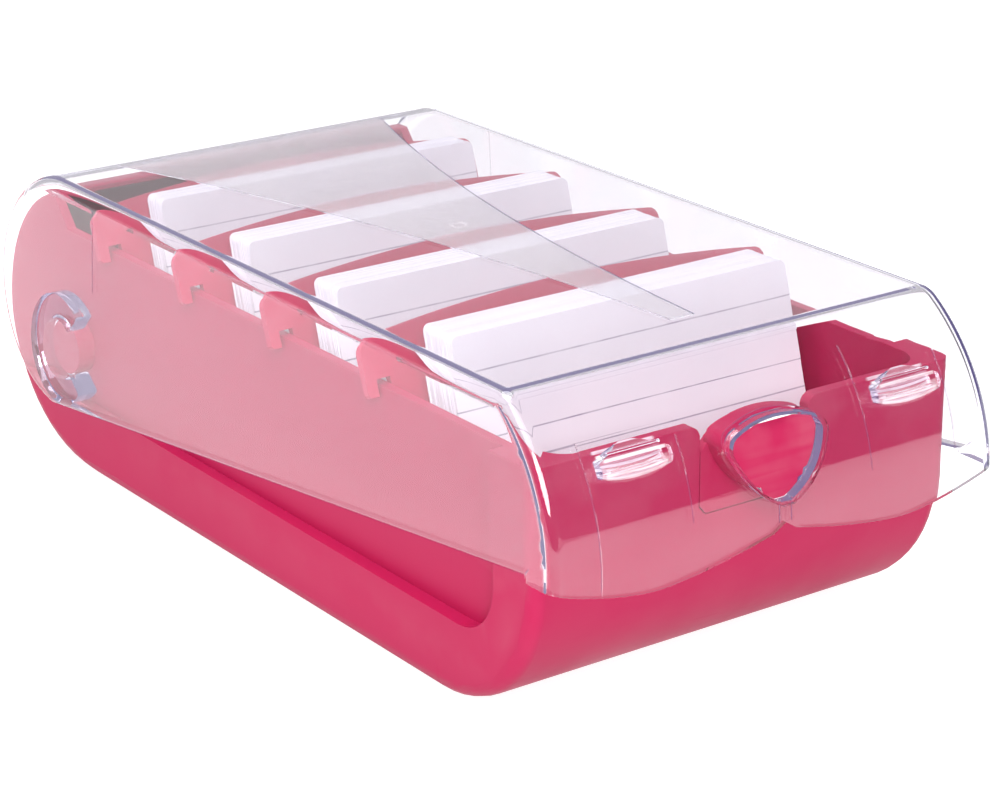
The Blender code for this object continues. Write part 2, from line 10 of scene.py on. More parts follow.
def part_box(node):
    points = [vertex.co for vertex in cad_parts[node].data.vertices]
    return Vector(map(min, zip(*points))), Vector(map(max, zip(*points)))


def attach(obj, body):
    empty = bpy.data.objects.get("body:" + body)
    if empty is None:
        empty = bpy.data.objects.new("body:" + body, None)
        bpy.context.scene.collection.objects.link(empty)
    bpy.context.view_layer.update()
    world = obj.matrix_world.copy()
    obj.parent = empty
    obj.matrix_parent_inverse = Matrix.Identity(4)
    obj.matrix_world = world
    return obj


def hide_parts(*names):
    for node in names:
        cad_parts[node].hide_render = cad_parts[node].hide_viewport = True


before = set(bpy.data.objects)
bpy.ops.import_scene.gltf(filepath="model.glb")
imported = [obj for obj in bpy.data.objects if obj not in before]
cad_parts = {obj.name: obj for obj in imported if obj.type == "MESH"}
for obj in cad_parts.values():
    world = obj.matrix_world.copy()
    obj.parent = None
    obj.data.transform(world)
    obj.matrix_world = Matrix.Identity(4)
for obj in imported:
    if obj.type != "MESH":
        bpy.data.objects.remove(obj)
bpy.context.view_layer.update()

MM = 0.001

# Meshes
MERGE = 1e-6                    # corners of a CAD node closer than this are the same corner
FLAT_ANGLE = math.radians(0.05)     # faces that turn less than this are one flat face
SHARP_ANGLE = math.radians(32.0)    # edges that turn more than this stay sharp
LID_SHARP_ANGLE = math.radians(30.0)
BEVEL_ANGLE = math.radians(50.0)    # edges that turn more than this get rounded
LARGE_FACE_WEIGHT = 80          # pull of the large faces on a corner's normal

# The lid's curved front, as in the CAD: an arc in the YZ plane.
FRONT_RADIUS = 49.2 * MM
FRONT_LEVEL_Z = 43.0 * MM       # height of the arc's foremost point
FRONT_Y = -135.25 * MM          # the arc's foremost point
SEAT_GAP = 0.3 * MM             # CAD gap between the lid's shell and the pieces moulded on it
SEAT_SLACK = 0.08 * MM          # a seat's corners lie no further than this off that gap
SINK = 0.8 * MM                 # how far those pieces are pushed into the shell to fuse
STRIP_STEPS = 16                # flats along a raised line that follows the arc
STRIP_ROOT = 0.5 * MM           # how deep such a line starts inside the shell

# The shield-shaped window's rim
WINDOW_Z = 60.5 * MM            # height of the window's middle
RIM_SPREAD = 1.03               # the rim is widened by this to fuse with the shell
RIM_SLIMMED = 1.075             # ... and its inner outline by this much more
RIM_INNER_SHARE = 0.95          # corners nearer than this share of the outer ones are inner
RIM_SAME_WAY = 0.06             # radians between corners that lie the same way
RIM_ROUND = 0.25 * MM

# The bearing rings on the sides
RING_SPLIT_X = 62 * MM          # ring vertices further out than this belong to the wall side
RING_SINK = 1.6 * SINK
RING_ROUND = 0.9 * MM

# The two grip bumps on the front
GRIP_X = 40.8 * MM              # their middle
GRIP_INNER, GRIP_OUTER = 29.0 * MM, 52.0 * MM   # the box that each lies in
GRIP_LOW, GRIP_HIGH = 62.5 * MM, 72.5 * MM
FRONT_LIMIT_Y = -100.0 * MM     # the lid's front is nearer than this
GRIP_RIDGE = math.radians(7.0)  # sharpest turn that stays smooth on the bumps
RIDGES = ((69.5 * MM, 2.0 * MM), (66.1 * MM, 2.2 * MM))     # height, distance off the arc
RIDGE_HALF_LENGTH = 7.6 * MM
RIDGE_RADIUS = 0.42 * MM
RIDGE_SIDES = 16
GRIP_HIGHLIGHT_REACH = (8.2 * MM, 9.2 * MM)   # painted highlight up to here, clear from here, along a bump
# Painted highlight bands on a bump: height in mm, half height in mm, share of white, bow
GRIP_PAINTED_HIGHLIGHTS = ((69.5, 0.4, 0.65, 0.0), (66.1, 0.35, 0.7, 6.0), (67.2, 0.9, 0.28, 3.0),
          (64.7, 0.5, 0.5, 16.0))

# Witness lines down the front: distance from the middle, lowest point, highest point of the
# left one and of the right one
FRONT_LINES = ((27.0 * MM, 51.0 * MM, 70.0 * MM, 78.0 * MM),
               (53.5 * MM, 39.6 * MM, 73.0 * MM, 73.0 * MM))
LINE_HALF_WIDTH = 0.14 * MM
LINE_PROUD = 0.12 * MM
CREASE_X = 1.8 * MM             # two short creases below the window, either side
CREASE_LOW, CREASE_HIGH = 45.0 * MM, 50.6 * MM
CREASE_HALF_WIDTH = 0.2 * MM
CREASE_PROUD = 0.2 * MM
SIDE_LINE_LOW, SIDE_LINE_HIGH = 58.0, 81.0      # upright line on each side wall, in mm
SIDE_LINE_Y = 72.0
SIDE_LINE_HALF_WIDTH = 0.12
SIDE_LINE_PROUD, SIDE_LINE_ROOT = 0.1, -0.5
LID_HALF_WIDTH = 65.5           # the side wall's outer face at the top, in mm
LID_TOP = 84.0
LID_DRAFT = 0.05                # the side walls spread by this share of the way down

# Round moulding marks on the top
LID_MARK = (55.7 * MM, -62.0 * MM)
PANEL_MARK = (0.0, -4.6 * MM)
MARK_RADIUS = 2.0 * MM
MARK_CORE, MARK_EDGE = 0.15 * MM, 0.4 * MM      # half width of the ring's white, and its end
MARK_SHARE = 0.16
MARK_LOWEST = 78.0 * MM         # the marks are on faces higher than this

# Clear plastic
TRAPPED_DEPTH = 5.5             # light that has turned this often inside the wall ...
PAINTED_TRAPPED_GLOW = (0.33, 0.30, 0.45, 1.0)     # ... shows as a painted greyish violet glow on the edges

# Cards
CARD_LEAN = math.radians(16.0)
CARD_CORNER = 1.8 * MM
CORNER_STEPS = 5                # flats round a card's corner
SHEET_PITCH = 0.42 * MM
SHEET_GAP = 0.03 * MM           # air between two sheets
SHEET_MARGIN = 0.2 * MM         # room left for the sheets' sideways disorder
SHEET_SLIDE = 0.14 * MM         # most that a sheet is off sideways
SHEET_DROP = 0.18 * MM          # ... and low
RULE_PITCH = 7.4                # printed rules, in mm
RULE_FIRST = 9.0
RULE_WAVER = 0.2

# Surroundings
FLOOR_HALF = 4.0
FLOOR_LOW, FLOOR_HIGH = -20.0 * MM, -0.2 * MM
SHADE_HALF_X, SHADE_HALF_Y = 50.0 * MM, 105.0 * MM      # footprint that shades the floor
SHADE_REACH = 90.0 * MM         # the shade ends this far from the footprint
FLOOR_GLOW = 1.15               # the floor's own light, away from the box ...
SHADED_GLOW = 0.75              # ... and right beside it
SEEN_GLOW = 0.92                # ... and at least, as the camera sees it
DIM = 0.12                      # light of the room on the camera's side
FAR = 0.62                      # ... and behind the object
DIM_FROM, FAR_FROM = -0.25, 0.70    # how far back a direction points where each begins
NEAR_FLOOR = 1.2                # ... and below the horizon


# ---- meshes -------------------------------------------------------------------------------
def taken(node):
    """A fresh mesh with a CAD node's shape: split corners joined, flat faces whole."""
    work = bmesh.new()
    work.from_mesh(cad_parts[node].data)
    bmesh.ops.remove_doubles(work, verts=work.verts, dist=MERGE)
    bmesh.ops.dissolve_limit(work, angle_limit=FLAT_ANGLE,
                             verts=work.verts, edges=work.edges)
    mesh = bpy.data.meshes.new(node + "_copy")
    work.to_mesh(mesh)
    work.free()
    if "custom_normal" in mesh.attributes:
        mesh.attributes.remove(mesh.attributes["custom_normal"])
    return mesh


def piece(name, mesh):
    obj = bpy.data.objects.new(name, mesh)
    bpy.context.scene.collection.objects.link(obj)
    return obj


def closed(work, first, last):
    """Walls and both ends between two rings of corners."""
    work.faces.new(first)
    work.faces.new(list(reversed(last)))
    count = len(first)
    for i in range(count):
        j = (i + 1) % count
        work.faces.new((first[i], last[i], last[j], first[j]))


def finished(work, mesh_name, name):
    """The piece that a mesh under construction makes."""
    bmesh.ops.recalc_face_normals(work, faces=work.faces)
    mesh = bpy.data.meshes.new(mesh_name)
    work.to_mesh(mesh)
    work.free()
    return piece(name, mesh)


def prism(name, outline, plane, low, high):
    """Closed solid of an outline [(a, b)] in the plane, from low to high along its normal."""
    spread = {
        "XZ": lambda a, b, c: (a, c, b),
        "YZ": lambda a, b, c: (c, a, b),
        "XY": lambda a, b, c: (a, b, c),
    }[plane]
    work = bmesh.new()
    rings = []
    for level in (low, high):
        rings.append([work.verts.new(spread(a, b, level)) for a, b in outline])
    closed(work, *rings)
    return finished(work, name, name)


def fuse(base, others):
    """Joins the other solids to base; the others go away."""
    for other in others:
        modifier = base.modifiers.new("fuse", "BOOLEAN")
        modifier.operation = "UNION"
        modifier.solver = "EXACT"
        modifier.object = other
    bpy.context.view_layer.update()
    graph = bpy.context.evaluated_depsgraph_get()
    mesh = bpy.data.meshes.new_from_object(base.evaluated_get(graph))
    base.modifiers.clear()
    base.data = mesh
    for other in others:
        bpy.data.objects.remove(other)


def soften(obj, width, segments):
    modifier = obj.modifiers.new("soft_edges", "BEVEL")
    modifier.width = width
    modifier.segments = segments
    modifier.limit_method = "ANGLE"
    modifier.angle_limit = BEVEL_ANGLE


def weigh_normals(obj):
    weights = obj.modifiers.new("weighted", "WEIGHTED_NORMAL")
    weights.keep_sharp = True
    weights.weight = LARGE_FACE_WEIGHT


def smooth(obj, angle):
    """Smooth shading that keeps the flats flat and the real corners sharp."""
    obj.data.shade_smooth()
    obj.data.set_sharp_from_angle(angle=angle)
    weigh_normals(obj)


def smooth_group():
    """Geometry nodes that join a CAD node's split corners and smooth its curved faces."""
    tree = bpy.data.node_groups.new("joined_smooth", "GeometryNodeTree")
    tree.interface.new_socket("Geometry", in_out="INPUT", socket_type="NodeSocketGeometry")
    tree.interface.new_socket("Geometry", in_out="OUTPUT", socket_type="NodeSocketGeometry")
    start = tree.nodes.new("NodeGroupInput")
    end = tree.nodes.new("NodeGroupOutput")
    merge = tree.nodes.new("GeometryNodeMergeByDistance")
    merge.inputs["Distance"].default_value = MERGE
    all_smooth = tree.nodes.new("GeometryNodeSetShadeSmooth")
    all_smooth.domain = "FACE"
    sharp = tree.nodes.new("GeometryNodeSetShadeSmooth")
    sharp.domain = "EDGE"
    sharp.inputs["Shade Smooth"].default_value = False
    angle = tree.nodes.new("GeometryNodeInputMeshEdgeAngle")
    over = tree.nodes.new("FunctionNodeCompare")
    over.operation = "GREATER_THAN"
    over.inputs["B"].default_value = SHARP_ANGLE
    tree.links.new(angle.outputs["Unsigned Angle"], over.inputs["A"])
    tree.links.new(over.outputs["Result"], sharp.inputs["Selection"])
    tree.links.new(start.outputs["Geometry"], merge.inputs["Geometry"])
    tree.links.new(merge.outputs["Geometry"], all_smooth.inputs["Geometry"])
    tree.links.new(all_smooth.outputs["Geometry"], sharp.inputs["Geometry"])
    tree.links.new(sharp.outputs["Geometry"], end.inputs["Geometry"])
    return tree


SMOOTH = smooth_group()


def carry(node, material):
    """A CAD node that stays: joined and smoothed by modifiers, with a better material."""
    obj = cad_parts[node]
    if "custom_normal" in obj.data.attributes:
        obj.data.attributes.remove(obj.data.attributes["custom_normal"])
    modifier = obj.modifiers.new("joined", "NODES")
    modifier.node_group = SMOOTH
    weigh_normals(obj)
    for slot in obj.material_slots:
        slot.material = material


# ---- materials ----------------------------------------------------------------------------
class Graph:
    """One material's nodes."""

    def __init__(self, name):
        self.material = bpy.data.materials.new(name)
        self.material.use_nodes = True
        self.tree = self.material.node_tree
        self.body = self.tree.nodes["Principled BSDF"]
        self.out = self.tree.nodes["Material Output"]
        self.place = self.add("TexCoord").outputs["Object"]

    def add(self, kind, settings=(), **values):
        node = self.tree.nodes.new("ShaderNode" + kind)
        for key, value in dict(settings).items():
            setattr(node, key, value)
        for key, value in values.items():
            self.feed(node.inputs[key.replace("_", " ")], value)
        return node

    def feed(self, socket, value):
        if isinstance(value, bpy.types.NodeSocket):
            self.tree.links.new(value, socket)
        else:
            socket.default_value = value

    def math(self, operation, a, b=0.0, c=0.0):
        node = self.tree.nodes.new("ShaderNodeMath")
        node.operation = operation
        for socket, value in zip(node.inputs, (a, b, c)):
            self.feed(socket, value)
        return node.outputs[0]

    def times(self, a, b):
        return self.math("MULTIPLY", a, b)

    def minus(self, a, b):
        return self.math("SUBTRACT", a, b)

    def off(self, a, b):
        """Distance between two values."""
        return self.math("ABSOLUTE", self.minus(a, b))

    def axes(self):
        """X, Y and Z of the shaded point, in the shared frame."""
        return self.add("SeparateXYZ", Vector=self.place).outputs

    def noise(self, scale, detail=2.0, roughness=0.5, vector=None):
        return self.add("TexNoise", Vector=vector or self.place, Scale=scale,
                        Detail=detail, Roughness=roughness).outputs["Fac"]

    def stretched(self, x, y, z):
        return self.add("Mapping", Vector=self.place, Scale=(x, y, z)).outputs["Vector"]

    def span(self, value, low, high, to_low, to_high):
        node = self.add("MapRange", Value=value)
        node.inputs["From Min"].default_value = low
        node.inputs["From Max"].default_value = high
        node.inputs["To Min"].default_value = to_low
        node.inputs["To Max"].default_value = to_high
        return node.outputs["Result"]

    def blend(self, factor, first, second):
        node = self.add("Mix", {"data_type": "RGBA"})
        self.feed(node.inputs[0], factor)
        self.feed(node.inputs[6], first)
        self.feed(node.inputs[7], second)
        return node.outputs[2]

    def bump(self, height, strength, distance, normal=None):
        node = self.add("Bump", Strength=strength, Distance=distance, Height=height)
        if normal is not None:
            self.feed(node.inputs["Normal"], normal)
        return node.outputs["Normal"]

    def mixed(self, factor, first, second):
        node = self.add("MixShader")
        for socket, value in zip(node.inputs, (factor, first, second)):
            self.feed(socket, value)
        return node.outputs[0]

    def set(self, **values):
        for key, value in values.items():
            self.feed(self.body.inputs[key.replace("_", " ")], value)


def rgba(red, green, blue):
    return (red, green, blue, 1.0)


def moulded_pink(name, colour, shade, roughness):
    """Coloured moulded plastic: fine eroded grain, flow marks, faint rubs along the edges."""
    graph = Graph(name)
    clouds = graph.noise(9.0, 3.0)
    flow = graph.noise(3.0, 4.0, 0.6, graph.stretched(14.0, 2.0, 9.0))
    tint = graph.blend(graph.span(clouds, 0.3, 0.7, 0.0, 1.0), colour, shade)
    worn = graph.add("NewGeometry").outputs["Pointiness"]
    wear = graph.times(graph.span(worn, 0.52, 0.62, 0.0, 0.22),
                       graph.span(graph.noise(60.0, 3.0), 0.4, 0.6, 0.2, 1.0))
    pale = rgba(*(0.75 * channel + 0.2 for channel in colour[:3]))
    graph.set(Base_Color=graph.blend(wear, tint, pale))
    grain = graph.noise(2600.0, 2.0)
    base = graph.span(flow, 0.3, 0.7, roughness - 0.04, roughness + 0.05)
    rubs = graph.span(graph.noise(40.0, 5.0, 0.7, graph.stretched(1.0, 12.0, 1.0)),
                      0.62, 0.75, 0.0, 0.08)
    graph.set(Roughness=graph.math("ADD", base, rubs), Specular_IOR_Level=0.14)
    soft = graph.bump(flow, 0.06, 0.0004)
    graph.set(Normal=graph.bump(grain, 0.03, 0.00002, soft))
    graph.set(Subsurface_Weight=0.06, Subsurface_Scale=0.004)
    graph.body.inputs["Subsurface Radius"].default_value = (1.0, 0.25, 0.3)
    return graph.material


def painted_grip_highlight(graph):
    """Share of painted highlight on the grip bumps: white bands on their ridges and on the
    facet below.
    """
    x, y, z = graph.axes()
    off_x = graph.off(graph.math("ABSOLUTE", x), GRIP_X)
    across = graph.span(off_x, *GRIP_HIGHLIGHT_REACH, 1.0, 0.0)
    in_front = graph.math("LESS_THAN", y, FRONT_LIMIT_Y)
    streaks = graph.noise(1.0, 3.0, 0.6, graph.stretched(90.0, 90.0, 900.0))
    squared = graph.times(off_x, off_x)
    bands = []
    for height, reach, most, bow in GRIP_PAINTED_HIGHLIGHTS:
        middle = graph.math("ADD", graph.times(squared, bow), height * MM)
        fade = graph.span(graph.off(z, middle), 0.7 * reach * MM, reach * MM, 1.0, 0.0)
        bands.append(graph.times(graph.span(streaks, 0.25, 0.65, 0.35 * most, most), fade))
    gleam = bands[0]
    for band in bands[1:]:
        gleam = graph.math("MAXIMUM", gleam, band)
    return graph.times(gleam, graph.times(across, in_front))


def gate_mark(graph, mark_x, mark_y):
    """Share of white on the thin ring that moulding left round a point of the top."""
    x, y, z = graph.axes()
    off_x, off_y = graph.minus(x, mark_x), graph.minus(y, mark_y)
    apart = graph.math("SQRT", graph.math("ADD", graph.times(off_x, off_x),
                                          graph.times(off_y, off_y)))
    ring = graph.span(graph.off(apart, MARK_RADIUS), MARK_CORE, MARK_EDGE, MARK_SHARE, 0.0)
    return graph.times(ring, graph.math("GREATER_THAN", z, MARK_LOWEST))


def clear_plastic(name, tint, density, roughness, mark, grain=0.0, veil=0.0, grips=False):
    """Clear moulded plastic: faint waviness, tinted edges with a painted violet glow, light
    passes to what is under it.

    mark is where a moulding mark lies, veil a milky share of white, and grips adds the painted
    highlights of the grip bumps.
    """
    graph = Graph(name)
    wave = graph.noise(22.0, 2.0)
    smear = graph.noise(55.0, 4.0, 0.6)
    normal = graph.bump(wave, 0.04, 0.0010)
    if grain:
        normal = graph.bump(graph.noise(1400.0, 2.0), grain, 0.00003, normal)
    graph.set(Base_Color=rgba(0.99, 0.985, 0.995), Transmission_Weight=1.0, IOR=1.56,
              Roughness=graph.span(smear, 0.35, 0.7, roughness, roughness * 1.6),
              Normal=normal)
    path = graph.add("LightPath")
    passing = graph.math("MAXIMUM", path.outputs["Is Shadow Ray"],
                         path.outputs["Is Diffuse Ray"])
    through = graph.add("BsdfTransparent", Color=rgba(0.985, 0.982, 0.988))
    # Painted glow: rays that have turned more than TRAPPED_DEPTH times show a flat greyish
    # violet in place of the plastic.
    glow = graph.add("Emission", Color=PAINTED_TRAPPED_GLOW)
    deep = graph.math("GREATER_THAN", path.outputs["Ray Depth"], TRAPPED_DEPTH)
    solid = graph.mixed(deep, graph.body.outputs[0], glow.outputs[0])
    white = graph.add("BsdfDiffuse", Color=rgba(0.95, 0.90, 0.94))
    milky = graph.math("ADD", gate_mark(graph, *mark),
                       graph.span(smear, 0.3, 0.7, 0.85 * veil, veil))
    solid = graph.mixed(milky, solid, white.outputs[0])
    # Painted highlights: white bands on the grip bumps stand in for their reflections.
    if grips:
        solid = graph.mixed(painted_grip_highlight(graph), solid, white.outputs[0])
    graph.feed(graph.out.inputs["Surface"], graph.mixed(passing, solid, through.outputs[0]))
    absorb = graph.add("VolumeAbsorption", Color=tint, Density=density)
    graph.feed(graph.out.inputs["Volume"], absorb.outputs[0])
    return graph.material


def paper(name, top_z=None, edges=False):
    """Card with soft fibres: with printed rules below top_z, or with the lines of sheets."""
    graph = Graph(name)
    fibre = graph.noise(900.0, 4.0, 0.65)
    blotch = graph.noise(35.0, 3.0)
    colour = graph.blend(graph.span(blotch, 0.3, 0.7, 0.0, 1.0),
                         rgba(0.90, 0.87, 0.91), rgba(0.86, 0.83, 0.88))
    if edges:
        pitch = graph.stretched(3.0, 2400.0, 3.0)
        stripes = graph.noise(1.0, 2.0, 0.5, pitch)
        colour = graph.blend(graph.span(stripes, 0.45, 0.62, 0.0, 0.35), colour,
                             rgba(0.70, 0.66, 0.74))
    if top_z is not None:
        z = graph.axes()["Z"]
        drop = graph.times(graph.minus(top_z, z), 1.0 / (MM * math.cos(CARD_LEAN)))
        waver = graph.times(graph.minus(graph.noise(18.0, 1.0), 0.5), RULE_WAVER)
        steps = graph.math("DIVIDE", graph.minus(graph.math("ADD", drop, waver), RULE_FIRST),
                           RULE_PITCH)
        line = graph.span(graph.off(steps, graph.math("ROUND", steps)), 0.016, 0.034, 1.0, 0.0)
        below = graph.math("GREATER_THAN", steps, -0.3)
        ink = graph.times(graph.times(line, below),
                          graph.span(graph.noise(160.0, 3.0), 0.3, 0.7, 0.45, 0.9))
        colour = graph.blend(ink, colour, rgba(0.28, 0.24, 0.34))
    graph.set(Base_Color=colour, Specular_IOR_Level=0.25,
              Roughness=graph.span(fibre, 0.3, 0.7, 0.72, 0.88),
              Normal=graph.bump(fibre, 0.25, 0.00008))
    return graph.material


# ---- lid ----------------------------------------------------------------------------------
def front_axis():
    """The middle of the front's arc."""
    return Vector((0.0, FRONT_Y + FRONT_RADIUS, FRONT_LEVEL_Z))


def front_point(z, proud):
    """(y, z) off the front's arc, straight out from where the arc is at height z."""
    angle = math.asin((z - FRONT_LEVEL_Z) / FRONT_RADIUS)
    reach = FRONT_RADIUS + proud
    return (front_axis().y - reach * math.cos(angle), FRONT_LEVEL_Z + reach * math.sin(angle))


def sunk_into_front(node):
    """A piece moulded on the front, its seat pushed into the shell so that the two fuse."""
    mesh = taken(node)
    axis = front_axis()
    for vertex in mesh.vertices:
        spoke = Vector((0.0, vertex.co.y, vertex.co.z)) - axis
        if spoke.length < FRONT_RADIUS + SEAT_GAP + SEAT_SLACK:
            spoke = spoke.normalized() * (FRONT_RADIUS - SINK)
            vertex.co.y = axis.y + spoke.y
            vertex.co.z = axis.z + spoke.z
    return piece(node + "_sunk", mesh)


def spread_rim():
    """The window's rim, widened into the wall around it and made slimmer on its inside."""
    mesh = taken("window_rim")
    spokes = []
    for vertex in mesh.vertices:
        x, z = vertex.co.x, vertex.co.z - WINDOW_Z
        spokes.append((math.atan2(z, x), math.hypot(x, z)))
    for vertex, (angle, length) in zip(mesh.vertices, spokes):
        furthest = max(reach for other, reach in spokes if abs(other - angle) < RIM_SAME_WAY)
        inner = length < RIM_INNER_SHARE * furthest
        scale = RIM_SPREAD * (RIM_SLIMMED if inner else 1.0)
        vertex.co.x *= scale
        vertex.co.z = WINDOW_Z + (vertex.co.z - WINDOW_Z) * scale
    rim = piece("rim_spread", mesh)
    soften(rim, RIM_ROUND, 2)
    return rim


def sharpen_grips(lid):
    """Keeps the ridges of the two grip bumps crisp."""
    work = bmesh.new()
    work.from_mesh(lid.data)
    for edge in work.edges:
        middle = (edge.verts[0].co + edge.verts[1].co) / 2
        on_grip = (GRIP_INNER < abs(middle.x) < GRIP_OUTER and middle.y < FRONT_LIMIT_Y
                   and GRIP_LOW < middle.z < GRIP_HIGH)
        if on_grip and edge.calc_face_angle(0.0) > GRIP_RIDGE:
            edge.smooth = False
    work.to_mesh(lid.data)
    work.free()


def sunk_ring(node):
    """A bearing ring with soft edges, pushed into the side wall."""
    mesh = taken(node)
    for vertex in mesh.vertices:
        if abs(vertex.co.x) > RING_SPLIT_X:
            vertex.co.x += math.copysign(RING_SINK, vertex.co.x)
    ring = piece(node + "_sunk", mesh)
    soften(ring, RING_ROUND, 3)
    return ring


def side_line(side):
    """Hair-thin upright witness line on a side wall."""
    outline = []
    for z, proud in ((SIDE_LINE_LOW, SIDE_LINE_PROUD), (SIDE_LINE_HIGH, SIDE_LINE_PROUD),
                     (SIDE_LINE_HIGH, SIDE_LINE_ROOT), (SIDE_LINE_LOW, SIDE_LINE_ROOT)):
        wall = LID_HALF_WIDTH + LID_DRAFT * (LID_TOP - z)
        outline.append((side * (wall + proud) * MM, z * MM))
    return prism("side_line", outline, "XZ", (SIDE_LINE_Y - SIDE_LINE_HALF_WIDTH) * MM,
                 (SIDE_LINE_Y + SIDE_LINE_HALF_WIDTH) * MM)


def front_strip(name, x, half_width, low_z, high_z, proud):
    """Hair-thin raised line down the front."""
    heights = [low_z + (high_z - low_z) * step / STRIP_STEPS
               for step in range(STRIP_STEPS + 1)]
    outline = [front_point(z, proud) for z in heights]
    outline += [front_point(z, -STRIP_ROOT) for z in reversed(heights)]
    return prism(name, outline, "YZ", x - half_width, x + half_width)


def grip_ridge(x, z, proud):
    """A rounded ridge along a grip bump."""
    middle_y, middle_z = front_point(z, proud)
    outline = []
    for step in range(RIDGE_SIDES):
        turn = 2.0 * math.pi * step / RIDGE_SIDES
        outline.append((middle_y + RIDGE_RADIUS * math.cos(turn),
                        middle_z + RIDGE_RADIUS * math.sin(turn)))
    return prism("ridge", outline, "YZ", x - RIDGE_HALF_LENGTH, x + RIDGE_HALF_LENGTH)


def build_lid():
    """The clear lid: one moulding where the CAD has seven solids."""
    lid = piece("clear_lid", taken("lid_shell"))
    added = [spread_rim(), sunk_into_front("catch_left"), sunk_into_front("catch_right")]
    added += [sunk_ring(n) for n in ("bearing_ring_left", "bearing_ring_right")]
    for side in (-1, 1):
        for x, low, high_left, high_right in FRONT_LINES:
            high = high_left if side < 0 else high_right
            added.append(front_strip("line", side * x, LINE_HALF_WIDTH, low, high, LINE_PROUD))
        added += [grip_ridge(side * GRIP_X, z, proud) for z, proud in RIDGES]
        added.append(side_line(side))
        added.append(front_strip("crease", side * CREASE_X, CREASE_HALF_WIDTH, CREASE_LOW,
                                 CREASE_HIGH, CREASE_PROUD))
    fuse(lid, added)
    smooth(lid, LID_SHARP_ANGLE)
    sharpen_grips(lid)
    lid.data.materials.clear()
    lid.data.materials.append(clear_plastic("clear_lid_plastic", rgba(0.74, 0.71, 0.86), 75.0,
                                            0.012, LID_MARK, grips=True))
    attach(lid, "lid")
    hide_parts("lid_shell", "window_rim", "catch_left", "catch_right",
                "bearing_ring_left", "bearing_ring_right")


# ---- cards --------------------------------------------------------------------------------
def sheet(work, left, right, foot_z, top_z, front_y, thickness):
    """One leaning card with rounded top corners, added to a mesh under construction."""
    outline = [(left, foot_z), (right, foot_z)]
    for centre_x, start in ((right - CARD_CORNER, 0.0), (left + CARD_CORNER, 90.0)):
        for step in range(CORNER_STEPS + 1):
            angle = math.radians(start + 90.0 * step / CORNER_STEPS)
            outline.append((centre_x + CARD_CORNER * math.cos(angle),
                            top_z - CARD_CORNER + CARD_CORNER * math.sin(angle)))
    rings = []
    for depth in (0.0, thickness):
        ring = []
        for x, z in outline:
            y = front_y + depth + (z - foot_z) * math.tan(CARD_LEAN)
            ring.append(work.verts.new((x, y, z)))
        rings.append(ring)
    closed(work, *rings)


def build_pack(number, draw):
    """A pack as a stack of thin sheets, each a little off."""
    node = f"card_pack_{number}"
    low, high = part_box(node)
    shift = (high.z - low.z) * math.tan(CARD_LEAN)
    depth = high.y - low.y - shift
    count = int(depth / SHEET_PITCH)
    pitch = depth / count
    work = bmesh.new()
    for index in range(count):
        slide = draw.uniform(-SHEET_SLIDE, SHEET_SLIDE)
        drop = draw.uniform(0.0, SHEET_DROP)
        sheet(work, low.x + SHEET_MARGIN + slide, high.x - SHEET_MARGIN + slide, low.z,
              high.z - drop, low.y + index * pitch, pitch - SHEET_GAP)
    stack = finished(work, node + "_sheets", f"card_stack_{number}")
    stack.data.materials.append(CARD)
    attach(stack, f"pack_{number}")
    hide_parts(node)


def build_front_card(number):
    """The ruled card in front of a pack."""
    node = f"ruled_card_{number}"
    low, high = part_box(node)
    shift = (high.z - low.z) * math.tan(CARD_LEAN)
    work = bmesh.new()
    sheet(work, low.x, high.x, low.z, high.z, low.y, high.y - low.y - shift)
    card = finished(work, node + "_sheet", f"front_card_{number}")
    card.data.materials.append(paper(f"ruled_paper_{number}", top_z=high.z))
    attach(card, f"pack_{number}")
    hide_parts(node)


# ---- surroundings -------------------------------------------------------------------------
def build_floor():
    """Pale floor that glows softly, less so right beside the box, where it is in its shade."""
    corners = [(-FLOOR_HALF, -FLOOR_HALF), (FLOOR_HALF, -FLOOR_HALF),
               (FLOOR_HALF, FLOOR_HALF), (-FLOOR_HALF, FLOOR_HALF)]
    floor = prism("floor", corners, "XY", FLOOR_LOW, FLOOR_HIGH)
    graph = Graph("pale_floor")
    tone = graph.noise(3.0, 3.0)
    x, y, _ = graph.axes()
    away = []
    for value, half in ((x, SHADE_HALF_X), (y, SHADE_HALF_Y)):
        out = graph.minus(graph.math("ABSOLUTE", value), half)
        away.append(graph.math("POWER", graph.math("MAXIMUM", out, 0.0), 2.0))
    apart = graph.math("SQRT", graph.math("ADD", *away))
    glow = graph.span(apart, 0.0, SHADE_REACH, SHADED_GLOW, FLOOR_GLOW)
    path = graph.add("LightPath")
    seen = graph.math("MAXIMUM", glow, graph.times(path.outputs["Is Camera Ray"], SEEN_GLOW))
    graph.set(Base_Color=graph.blend(tone, rgba(0.26, 0.26, 0.26), rgba(0.30, 0.30, 0.30)),
              Roughness=0.9, Specular_IOR_Level=0.05,
              Emission_Color=rgba(1.0, 1.0, 1.0), Emission_Strength=seen)
    floor.data.materials.append(graph.material)


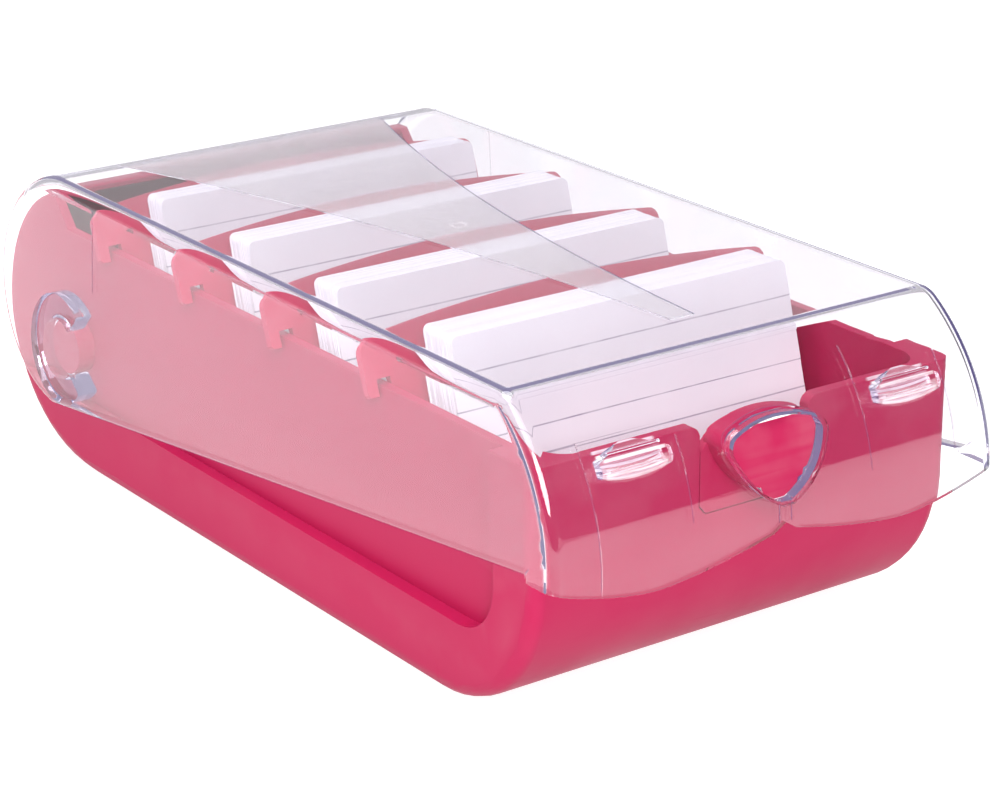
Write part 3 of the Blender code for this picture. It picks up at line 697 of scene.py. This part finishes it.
def build_world():
    """Pale room: white below the horizon, bright behind the object, dim on the near side."""
    world = bpy.data.worlds.new("soft_room")
    world.use_nodes = True
    tree = world.node_tree
    background = tree.nodes["Background"]
    coord = tree.nodes.new("ShaderNodeTexCoord")
    split = tree.nodes.new("ShaderNodeSeparateXYZ")
    depth = tree.nodes.new("ShaderNodeMapRange")
    depth.interpolation_type = "SMOOTHSTEP"
    for key, value in (("From Min", DIM_FROM), ("From Max", FAR_FROM),
                       ("To Min", DIM), ("To Max", FAR)):
        depth.inputs[key].default_value = value
    below = tree.nodes.new("ShaderNodeMath")
    below.operation = "LESS_THAN"
    below.inputs[1].default_value = 0.0
    level = tree.nodes.new("ShaderNodeMix")
    level.inputs["B"].default_value = NEAR_FLOOR
    tree.links.new(coord.outputs["Generated"], split.inputs[0])
    tree.links.new(split.outputs["Y"], depth.inputs["Value"])
    tree.links.new(split.outputs["Z"], below.inputs[0])
    tree.links.new(below.outputs[0], level.inputs["Factor"])
    tree.links.new(depth.outputs["Result"], level.inputs["A"])
    tree.links.new(level.outputs["Result"], background.inputs["Strength"])
    background.inputs["Color"].default_value = (1.0, 0.985, 1.01, 1.0)
    bpy.context.scene.world = world


def lamp(name, place, target, size, power):
    """A round area lamp that faces its target."""
    light = bpy.data.lights.new(name, "AREA")
    light.shape = "DISK"
    light.size = size
    light.energy = power
    obj = bpy.data.objects.new(name, light)
    bpy.context.scene.collection.objects.link(obj)
    obj.location = place
    aim = Vector(target) - Vector(place)
    obj.rotation_euler = aim.to_track_quat("-Z", "Y").to_euler()


def build_camera():
    """Camera turned by yaw from +Y towards +X, pitched down, and rolled about its own axis."""
    yaw, pitch, roll = 0.62444, 0.35460, -0.00261
    place = (-0.42126, -0.60740, 0.30786)
    forward = Vector((math.sin(yaw) * math.cos(pitch), math.cos(yaw) * math.cos(pitch),
                      -math.sin(pitch)))
    level = Vector((math.cos(yaw), -math.sin(yaw), 0.0))
    upright = level.cross(forward)
    right = level * math.cos(roll) + upright * math.sin(roll)
    up = upright * math.cos(roll) - level * math.sin(roll)
    data = bpy.data.cameras.new("camera")
    data.sensor_width = 36.0
    data.lens = 106.72
    data.clip_start = 0.01
    camera = bpy.data.objects.new("camera", data)
    bpy.context.scene.collection.objects.link(camera)
    turn = Matrix((right, up, -forward)).transposed().to_4x4()
    camera.matrix_world = Matrix.Translation(place) @ turn
    bpy.context.scene.camera = camera


# ---- assembly -----------------------------------------------------------------------------
TUB = moulded_pink("tub_plastic", rgba(0.42, 0.011, 0.072), rgba(0.385, 0.009, 0.065), 0.42)
# The latch is the tub's plastic made a few per cent lighter, as painted light on the latch.
LATCH = moulded_pink("latch_plastic", rgba(0.44, 0.011, 0.073), rgba(0.40, 0.009, 0.066), 0.40)
DIVIDER = moulded_pink("divider_plastic", rgba(0.53, 0.012, 0.080), rgba(0.48, 0.010, 0.072),
                       0.44)
CARD = paper("card_edges", edges=True)
SATIN = clear_plastic("satin_plastic", rgba(0.88, 0.85, 0.89), 8.0, 0.16, PANEL_MARK,
                      grain=0.3, veil=0.06)

carry("tub", TUB)
carry("latch_tongue", LATCH)
carry("satin_panel", SATIN)
build_lid()
draw = random.Random(11)
for number in range(1, 5):
    carry(f"divider_{number}", DIVIDER)
    build_pack(number, draw)
    build_front_card(number)

build_floor()
build_world()
lamp("front", (-1.0, -1.4, 1.0), (0.0, 0.0, 0.05), 1.0, 38.0)
lamp("key", (-1.2, -1.0, 2.0), (0.0, 0.0, 0.0), 1.6, 21.0)
lamp("overhead", (-0.2, 0.6, 2.2), (0.0, 0.0, 0.0), 1.8, 41.0)
build_camera()
scene = bpy.context.scene
scene.view_settings.view_transform = "Standard"
scene.view_settings.look = "None"
scene.cycles.max_bounces = 20
scene.cycles.transmission_bounces = 20
scene.cycles.transparent_max_bounces = 24
